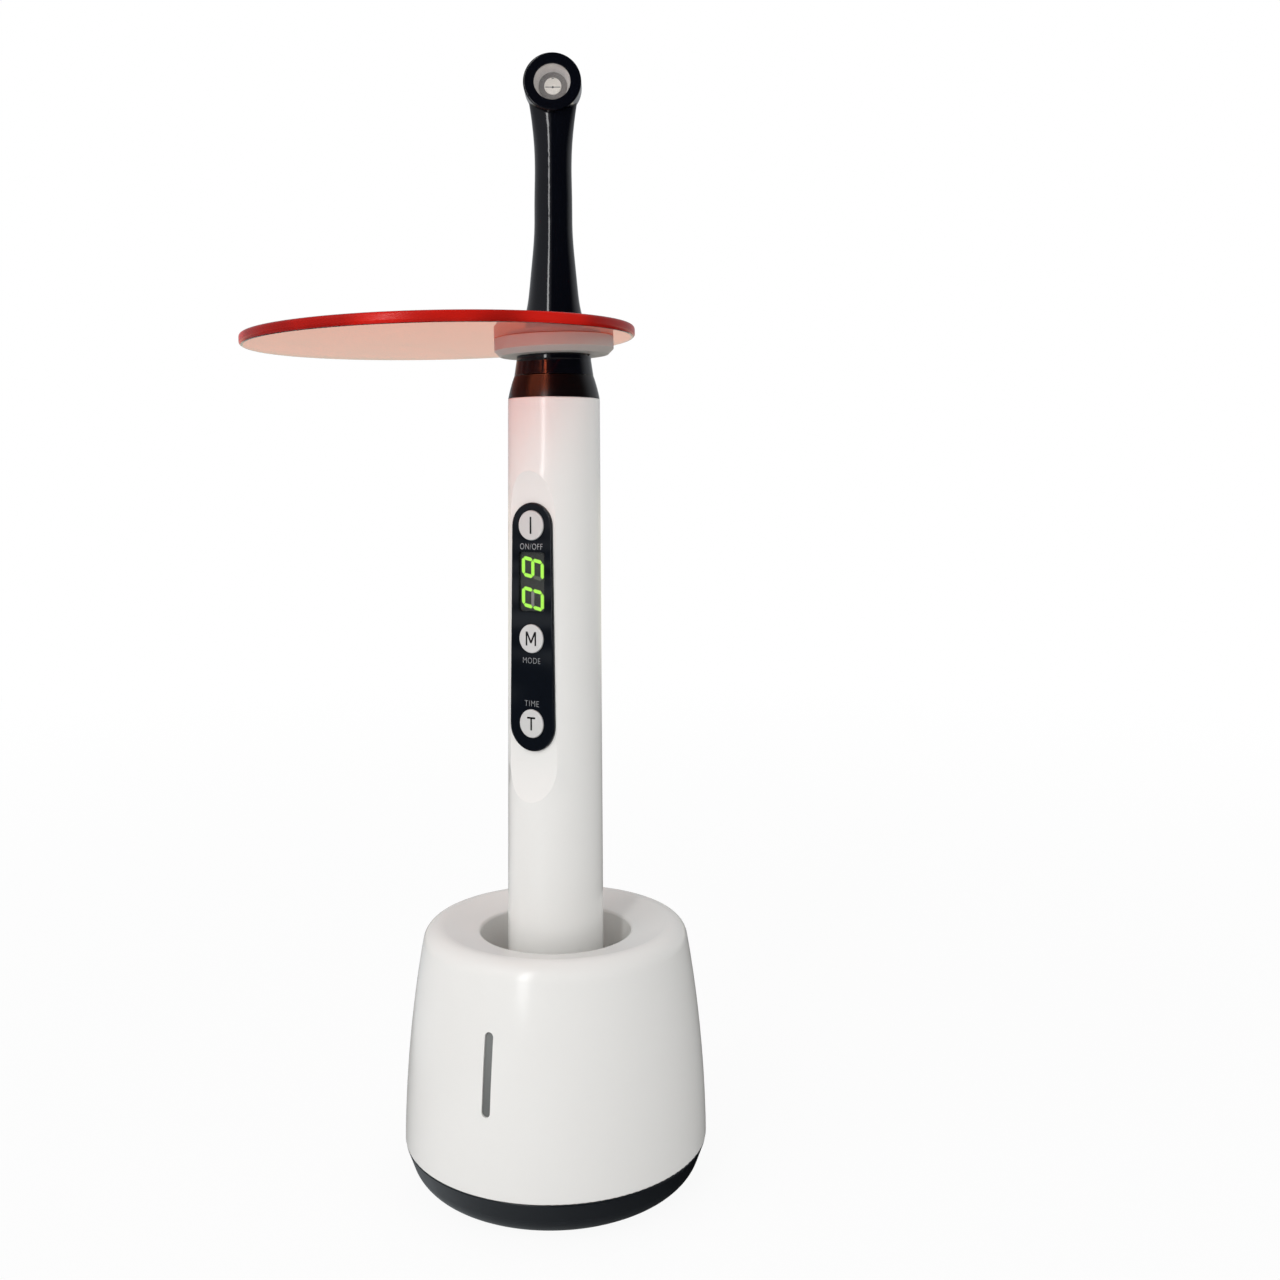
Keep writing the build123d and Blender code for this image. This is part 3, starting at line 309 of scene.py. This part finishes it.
finishes = {
    "whiteCase": polishedPlastic("whiteCase", (0.80, 0.79, 0.765), (0.19, 0.20), 0.003, 8),
    "blackGloss": polishedPlastic("blackGloss", (0.002, 0.0024, 0.0045), (0.07, 0.09), 0.05, 30),
    # the faint red in the collar's black is a painted reflection of the red shield above it
    "collarGlossRedReflection": polishedPlastic("collarGlossRedReflection", (0.003, 0.0016, 0.0018), (0.22, 0.26), 0.05, 30),
    "panelGloss": polishedPlastic("panelGloss", (0.0012, 0.0024, 0.0052), (0.04, 0.05), 0.05, 40),
    "buttonGrey": polishedPlastic("buttonGrey", (0.58, 0.575, 0.565), (0.3, 0.36), 0.01, 150),
    "markBlack": polishedPlastic("markBlack", (0.004, 0.004, 0.005), (0.1, 0.14), 0.05, 300),
    "traySatin": mouldedPlastic("traySatin", (0.006, 0.008, 0.011), (0.28, 0.38), 0.01, 0.1),
    "darkMoulding": mouldedPlastic("darkMoulding", (0.03, 0.03, 0.032), (0.45, 0.6), 0.02, 0.15),
    "displayFace": mouldedPlastic("displayFace", (0.075, 0.078, 0.075), (0.4, 0.5), 0.004, 0.06),
    "naturalNylon": mouldedPlastic("naturalNylon", (0.72, 0.70, 0.62), (0.4, 0.55), 0.01),
    "cellWrap": mouldedPlastic("cellWrap", (0.05, 0.10, 0.28), (0.25, 0.35), 0.01),
    # the reflector is a mirror-like cup; its pale satin colour is a painted reflection, standing in for
    # what the mirror shows
    "cupPaintedReflection": mouldedPlastic("cupPaintedReflection", (0.74, 0.70, 0.67), (0.12, 0.3), 0.01, 0.14, 500),
    "boardTaupe": mouldedPlastic("boardTaupe", (0.125, 0.10, 0.085), (0.4, 0.55), 0.01, 0.12),
    "phosphor": mouldedPlastic("phosphor", (0.86, 0.80, 0.73), (0.4, 0.55), 0.01, 0.1, 600),
    "paleSegment": heightPlastic("paleSegment", (0.42, 0.42, 0.40), (0.19, 0.22, 0.17),
                                 (150, 153), (0.4, 0.5)),
    "guideGrey": heightPlastic("guideGrey", (0.13, 0.135, 0.13), (0.19, 0.195, 0.19),
                               (28, 48), (0.15, 0.2)),
    "markPale": heightPlastic("markPale", (0.24, 0.245, 0.25), (0.36, 0.365, 0.37),
                              (130, 162), (0.4, 0.5)),
    "plainSteel": brushedMetal("plainSteel", (0.62, 0.62, 0.62), (0.25, 0.4)),
    "plating": brushedMetal("plating", (0.70, 0.70, 0.69), (0.18, 0.3)),
    "castIron": brushedMetal("castIron", (0.25, 0.25, 0.26), (0.55, 0.7), grain=0.05),
    "goldBrass": brushedMetal("goldBrass", (0.83, 0.62, 0.28), (0.15, 0.28)),
    "aluminium": brushedMetal("aluminium", (0.75, 0.75, 0.76), (0.3, 0.42), (1, 8, 1)),
    "padRubber": ribbedRubber("padRubber", (0.03, 0.03, 0.03), 1.6),
    "sealRubber": ribbedRubber("sealRubber", (0.035, 0.035, 0.04), 0.6),
    "boardGreen": circuitLaminate("boardGreen", (0.02, 0.14, 0.06), (0.10, 0.30, 0.12)),
    "silicone": milkySilicone("silicone", (0.44, 0.40, 0.37)),
    "smokedWindow": clearGlazing("smokedWindow", (0.01, 0.012, 0.012), 0.16, (0.04, 0.07)),
    "clearLens": clearGlazing("clearLens", (0.85, 0.86, 0.88), 0.06, (0.02, 0.05)),
    "litSegment": glowingSegment("litSegment", (0.37, 0.82, 0.085), 0.98),
    "shieldAcrylic": shieldAcrylic("shieldAcrylic", eyeShield),
}
print("finishes made,", len(finishes))


# Which finish each of the frame's nodes gets

wear = {
    "whiteCase": ["base_shell", "handle_tube"],
    "blackGloss": ["head_shell", "lens_bezel", "end_cap"],
    "collarGlossRedReflection": ["collar_ring"],
    "panelGloss": ["control_panel"],
    "traySatin": ["base_tray"],
    "buttonGrey": ["power_button", "mode_button", "time_button"],
    "darkMoulding": ["dc_socket", "tact_switches", "buzzer", "jack_socket", "power_switch_plunger",
                     "mode_switch_plunger", "time_switch_plunger", "led_lead"],
    "displayFace": ["display_module"],
    "paleSegment": ["unlit_segments"],
    "litSegment": ["lit_segments"],
    "naturalNylon": ["battery_divider", "jack_carrier", "swivel_bush"],
    "guideGrey": ["light_guide"],
    "cellWrap": ["battery_cell"],
    "plainSteel": ["base_screws", "board_screws", "swivel_clip", "pin_spring_centre", "pin_spring_left",
                   "pin_spring_right"],
    "plating": ["battery_spring", "battery_contact"],
    "castIron": ["ballast_plate"],
    "goldBrass": ["charge_pin_barrels", "charge_pin_centre", "charge_pin_left", "charge_pin_right",
                  "cap_centre_contact", "cap_ring_contact", "jack_plug"],
    "aluminium": ["heat_slug"],
    "cupPaintedReflection": ["reflector"],
    "padRubber": ["foot_pad"],
    "sealRubber": ["end_cap_seal", "swivel_seal"],
    "boardGreen": ["base_board", "indicator_board", "main_board"],
    "boardTaupe": ["led_board"],
    "phosphor": ["led_emitter", "status_leds"],
    "silicone": ["shield_mount"],
    "smokedWindow": ["display_window"],
    "clearLens": ["lens_window"],
    "shieldAcrylic": ["shield_plate"],
}
for finish, names in wear.items():
    for name in names:
        for place in nodes[name].material_slots:
            place.material = finishes[finish]
bare = set(nodes) - {name for names in wear.values() for name in names}
print("nodes dressed, left over:", sorted(bare))


# Pieces made here

def finishPiece(name, bm, mesh, material, body):
    # Makes the mesh a piece that rides on a body.
    bmesh.ops.recalc_face_normals(bm, faces=bm.faces)
    bm.to_mesh(mesh)
    bm.free()
    piece = bpy.data.objects.new(name, mesh)
    scene.collection.objects.link(piece)
    mesh.materials.clear()
    mesh.materials.append(finishes[material])
    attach(piece, body)


# Marks printed on the keys and the panel

panel = {
    "turn": math.radians(-31.0),       # the side that the panel faces, from -Y
    "face": 10.75 * millimetre,        # from the handle's axis to the panel's front
    "keyFace": 11.05 * millimetre,     # and to the fronts of the keys
    "ink": 0.03 * millimetre,
}
# outlines of the letters on the keys, in millimetres from the key's centre
letters = {
    "powerMark": {"on": "power_button", "outline": [
        (-0.27, -2.2), (0.27, -2.2), (0.27, 2.2), (-0.27, 2.2)]},
    "modeMark": {"on": "mode_button", "outline": [
        (-1.6, -1.8), (-1.12, -1.8), (-1.12, 0.85), (-0.22, -1.15), (0.22, -1.15), (1.12, 0.85),
        (1.12, -1.8), (1.6, -1.8), (1.6, 1.8), (1.05, 1.8), (0, -0.45), (-1.05, 1.8), (-1.6, 1.8)]},
    "timeMark": {"on": "time_button", "outline": [
        (-0.26, -1.7), (0.26, -1.7), (0.26, 1.22), (1.25, 1.22), (1.25, 1.7), (-1.25, 1.7),
        (-1.25, 1.22), (-0.26, 1.22)]},
}
# words beside the keys, with their size and rise from the key's centre in millimetres
labels = {
    "powerLabel": {"text": "ON/OFF", "size": (6.9, 1.5), "beside": "power_button", "rise": -5.4},
    "modeLabel": {"text": "MODE", "size": (5.3, 1.45), "beside": "mode_button", "rise": -5.6},
    "timeLabel": {"text": "TIME", "size": (4.4, 1.45), "beside": "time_button", "rise": 5.1},
}
lettering = {
    "strokeOffset": -0.012,            # below nought the strokes get thinner
    "spacing": 1.12,
    "weld": 0.00001,                   # corners nearer than this become one
}


def textMesh(name, words):
    # The words as a closed flat solid, one unit tall or so, facing up.
    curve = bpy.data.curves.new(name, "FONT")
    curve.body = words
    curve.align_x = "CENTER"
    curve.align_y = "CENTER"
    curve.extrude = 0.5
    curve.offset = lettering["strokeOffset"]
    curve.space_character = lettering["spacing"]
    holder = bpy.data.objects.new(name + "Text", curve)
    scene.collection.objects.link(holder)
    bpy.context.view_layer.update()
    shaped = holder.evaluated_get(bpy.context.evaluated_depsgraph_get())
    mesh = bpy.data.meshes.new_from_object(shaped)
    bpy.data.objects.remove(holder)
    return mesh


def fitTo(bm, width, height, depth):
    # Centres the mesh and scales it to a size.
    low = Vector([min(v.co[i] for v in bm.verts) for i in range(3)])
    high = Vector([max(v.co[i] for v in bm.verts) for i in range(3)])
    span = high - low
    bmesh.ops.translate(bm, vec=-(low + high) / 2, verts=bm.verts)
    factors = (width / span.x, height / span.y, depth / span.z)
    bmesh.ops.scale(bm, vec=factors, verts=bm.verts)


def keyLevel(name):
    low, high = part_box(name)
    return (low.z + high.z) / 2


def standOnPanel(bm, distance, level):
    # Stands a flat mark up and turns it to the side that the panel faces.
    stand = Matrix.Rotation(math.radians(90), 4, "X")
    out = Matrix.Translation((0, -distance, level))
    turn = Matrix.Rotation(panel["turn"], 4, "Z")
    bmesh.ops.transform(bm, matrix=turn @ out @ stand, verts=bm.verts)


def makeLetter(name, letter):
    bm = bmesh.new()
    corners = [bm.verts.new((x * millimetre, y * millimetre, 0)) for x, y in letter["outline"]]
    flat = bm.faces.new(corners)
    raised = bmesh.ops.extrude_face_region(bm, geom=[flat])["geom"]
    top = [part for part in raised if isinstance(part, bmesh.types.BMVert)]
    bmesh.ops.translate(bm, vec=(0, 0, panel["ink"]), verts=top)
    bmesh.ops.triangulate(bm, faces=bm.faces[:])
    standOnPanel(bm, panel["keyFace"] - panel["ink"] / 2, keyLevel(letter["on"]))
    finishPiece(name, bm, bpy.data.meshes.new(name), "markBlack", letter["on"])


def makeLabel(name, label):
    width, height = (side * millimetre for side in label["size"])
    mesh = textMesh(name, label["text"])
    bm = bmesh.new()
    bm.from_mesh(mesh)
    bmesh.ops.remove_doubles(bm, verts=bm.verts, dist=lettering["weld"])
    fitTo(bm, width, height, panel["ink"])
    standOnPanel(bm, panel["face"], keyLevel(label["beside"]) + label["rise"] * millimetre)
    finishPiece(name, bm, mesh, "markPale", "handpiece")


for name, letter in letters.items():
    makeLetter(name, letter)
for name, label in labels.items():
    makeLabel(name, label)
print("marks printed,", len(letters) + len(labels))


# Fine features on the lamp's emitter

emitterLow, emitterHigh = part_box("led_emitter")
emitter = {
    "front": emitterLow.y,
    "height": (emitterLow.z + emitterHigh.z) / 2,
    "thickness": 0.04 * millimetre,
}
# sizes and places in millimetres from the emitter's centre, turns in degrees
emitterBits = {
    "emitterGap": {"size": (4.0, 0.2), "at": (0.0, -0.3), "turn": 0},
    "emitterDie": {"size": (0.52, 0.52), "at": (0.0, -0.3), "turn": 45},
    "emitterNotch": {"size": (0.5, 0.22), "at": (0.0, 1.95), "turn": 0},
}


def makeEmitterBit(name, bit):
    bm = bmesh.new()
    bmesh.ops.create_cube(bm, size=1.0)
    width, height = (side * millimetre for side in bit["size"])
    across, rise = (side * millimetre for side in bit["at"])
    bmesh.ops.scale(bm, vec=(width, emitter["thickness"], height), verts=bm.verts)
    turn = Matrix.Rotation(math.radians(bit["turn"]), 4, "Y")
    place = Matrix.Translation((across, emitter["front"], emitter["height"] + rise))
    bmesh.ops.transform(bm, matrix=place @ turn, verts=bm.verts)
    finishPiece(name, bm, bpy.data.meshes.new(name), "markBlack", "head")


for name, bit in emitterBits.items():
    makeEmitterBit(name, bit)
print("emitter detailed,", len(emitterBits), "bits")


# Floor, seen plain white by the camera and dimmer by shiny parts

floorLook = {
    "size": 30.0,
    "drop": 0.1 * millimetre,
    "colour": (0.80, 0.80, 0.80),
    "white": 0.93,                     # share of plain white that the camera sees beside the object
    "fade": (0.12, 0.9),               # the floor turns plain white between these distances
    "mirrored": (0.08, 0.5),           # how bright shiny parts see the floor on the left
    "patchScale": 4.6,                 # soft patches per metre in that part
    "patchEdge": (0.44, 0.56),
    "mirroredTint": (0.9, 0.96, 1.0),
    "leftEnds": (-0.05, 0.05),
    "behind": 0.8,                     # how bright they see it far behind the object
    "behindTint": (1.0, 0.99, 0.84),
    "behindStarts": (0.3, 1.2),
}


def seenPlainly(tree, path):
    # One where the camera looks straight at it or through a clear part.
    return calculate(tree, "MAXIMUM", path.outputs["Is Camera Ray"], path.outputs["Is Transmission Ray"])


def paperFloor(tree, path, coords):
    # Pale paper that keeps the object's shadow and fades to plain white.
    paper = addNode(tree, "ShaderNodeBsdfDiffuse")
    paper.inputs["Color"].default_value = (*floorLook["colour"], 1)
    glow = addNode(tree, "ShaderNodeEmission", Strength=1.0)
    away = addNode(tree, "ShaderNodeVectorMath", operation="LENGTH")
    tree.links.new(coords.outputs["Object"], away.inputs[0])
    fade = between(tree, away.outputs["Value"], floorLook["white"], 1.0, *floorLook["fade"], True)
    share = calculate(tree, "MULTIPLY", seenPlainly(tree, path), fade)
    return mixShaders(tree, share, paper.outputs["BSDF"], glow.outputs["Emission"])


def mirroredFloor(tree, coords):
    # Soft patches in front and to the left, and a bright floor far behind.
    axes = axesOf(tree, coords.outputs["Object"])
    noise = objectNoise(tree, floorLook["patchScale"], 0)
    patches = between(tree, noise, *floorLook["mirrored"], *floorLook["patchEdge"], True)
    onLeft = between(tree, axes["X"], 1.0, 0.0, *floorLook["leftEnds"], True)
    inFront = between(tree, axes["Y"], 1.0, 0.0, *floorLook["behindStarts"], True)
    atBack = between(tree, axes["Y"], 0.0, 1.0, *floorLook["behindStarts"], True)
    farBack = calculate(tree, "MULTIPLY", atBack, floorLook["behind"])
    near = calculate(tree, "MULTIPLY", calculate(tree, "MULTIPLY", patches, onLeft), inFront)
    light = addNode(tree, "ShaderNodeEmission")
    tint = mixColour(tree, atBack, floorLook["mirroredTint"], floorLook["behindTint"])
    tree.links.new(tint, light.inputs["Color"])
    tree.links.new(calculate(tree, "ADD", near, farBack), light.inputs["Strength"])
    return light.outputs["Emission"]


def makeFloor():
    bm = bmesh.new()
    bmesh.ops.create_grid(bm, x_segments=8, y_segments=8, size=floorLook["size"] / 2)
    bmesh.ops.translate(bm, vec=(0, 0, -floorLook["drop"]), verts=bm.verts)
    mesh = bpy.data.meshes.new("floor")
    bm.to_mesh(mesh)
    bm.free()
    floor = bpy.data.objects.new("floor", mesh)
    scene.collection.objects.link(floor)
    material = bpy.data.materials.new("floorPaper")
    material.use_nodes = True
    tree = material.node_tree
    tree.nodes.clear()
    output = addNode(tree, "ShaderNodeOutputMaterial")
    path = addNode(tree, "ShaderNodeLightPath")
    coords = addNode(tree, "ShaderNodeTexCoord")
    reflected = calculate(tree, "GREATER_THAN", path.outputs["Glossy Depth"], 0.5)
    reflected = calculate(tree, "MULTIPLY", path.outputs["Is Glossy Ray"], reflected)
    paper = paperFloor(tree, path, coords)
    look = mixShaders(tree, reflected, paper, mirroredFloor(tree, coords))
    tree.links.new(look, output.inputs["Surface"])
    mesh.materials.append(material)


# Light from all round

room = {
    "backdrop": (1.0, 1.0, 1.0),       # what the camera sees
    "fill": 0.66,                      # light that falls on everything from all round
    "fillTint": (0.98, 0.99, 1.0),
    "behind": 0.45,                    # what shiny parts reflect from behind the object
    "left": 0.36,                      # from the left of the camera
    "right": 0.01,                     # and from its right
    "tint": (0.93, 0.96, 1.0),
    "leftEnds": (-0.25, -0.08),
    "behindStarts": (-0.1, 0.5),
}


def makeWorld():
    world = bpy.data.worlds.new("studio")
    scene.world = world
    world.use_nodes = True
    tree = world.node_tree
    tree.nodes.clear()
    output = addNode(tree, "ShaderNodeOutputWorld")
    path = addNode(tree, "ShaderNodeLightPath")
    coords = addNode(tree, "ShaderNodeTexCoord")
    axes = axesOf(tree, coords.outputs["Generated"])
    sides = between(tree, axes["X"], room["left"], room["right"], *room["leftEnds"], True)
    forward = between(tree, axes["Y"], 1.0, 0.0, *room["behindStarts"], True)
    backward = between(tree, axes["Y"], 0.0, room["behind"], *room["behindStarts"], True)
    strength = calculate(tree, "ADD", calculate(tree, "MULTIPLY", sides, forward), backward)
    mirrored = addNode(tree, "ShaderNodeBackground", Color=(*room["tint"], 1))
    tree.links.new(strength, mirrored.inputs["Strength"])
    fill = addNode(tree, "ShaderNodeBackground", Color=(*room["fillTint"], 1), Strength=room["fill"])
    backdrop = addNode(tree, "ShaderNodeBackground", Color=(*room["backdrop"], 1), Strength=1.0)
    straight = calculate(tree, "LESS_THAN", path.outputs["Glossy Depth"], 0.5)
    seen = calculate(tree, "MULTIPLY", seenPlainly(tree, path), straight)
    around = mixShaders(tree, path.outputs["Is Glossy Ray"], fill.outputs[0], mirrored.outputs[0])
    tree.links.new(mixShaders(tree, seen, around, backdrop.outputs[0]), output.inputs["Surface"])


# Soft boxes

lamps = {
    "stripLight": {"size": (0.15, 1.7), "place": (-0.49, -1.1, 0.72), "power": 6.2, "shows": True},
    "keyLight": {"size": (1.2, 1.0), "place": (-1.2, -0.9, 1.3), "power": 7.6, "shows": False},
    "sideLight": {"size": (1.2, 1.2), "place": (1.5, -0.7, 0.5), "power": 2.6, "shows": False},
}
lampTarget = Vector((0, 0, 0.13))


def makeLamp(name, lamp):
    # Looks at the middle of the object. One that shows in shiny parts stands upright.
    data = bpy.data.lights.new(name, "AREA")
    data.shape = "RECTANGLE"
    data.size, data.size_y = lamp["size"]
    data.energy = lamp["power"]
    light = bpy.data.objects.new(name, data)
    scene.collection.objects.link(light)
    aim = lampTarget - Vector(lamp["place"])
    if lamp["shows"]:
        aim.z = 0
    light.location = lamp["place"]
    light.rotation_mode = "QUATERNION"
    light.rotation_quaternion = aim.to_track_quat("-Z", "Y")
    light.visible_glossy = lamp["shows"]


# Camera, level and at the photograph's angle

lens = {
    "place": (0.0155, -0.355, 0.1795),
    "roll": -0.2,
    "focal": 38.14,
    "sensor": 36,
    "shift": (0.0207, -0.1258),
    "nearest": 0.01,
}


def makeCamera():
    data = bpy.data.cameras.new("camera")
    data.lens = lens["focal"]
    data.sensor_width = lens["sensor"]
    data.shift_x, data.shift_y = lens["shift"]
    data.clip_start = lens["nearest"]
    camera = bpy.data.objects.new("camera", data)
    scene.collection.objects.link(camera)
    upright = Matrix.Rotation(math.radians(90), 4, "X")
    roll = Matrix.Rotation(math.radians(lens["roll"]), 4, "Z")
    camera.matrix_world = Matrix.Translation(lens["place"]) @ upright @ roll
    scene.camera = camera


makeFloor()
makeWorld()
for name, lamp in lamps.items():
    makeLamp(name, lamp)
makeCamera()
print("studio ready")
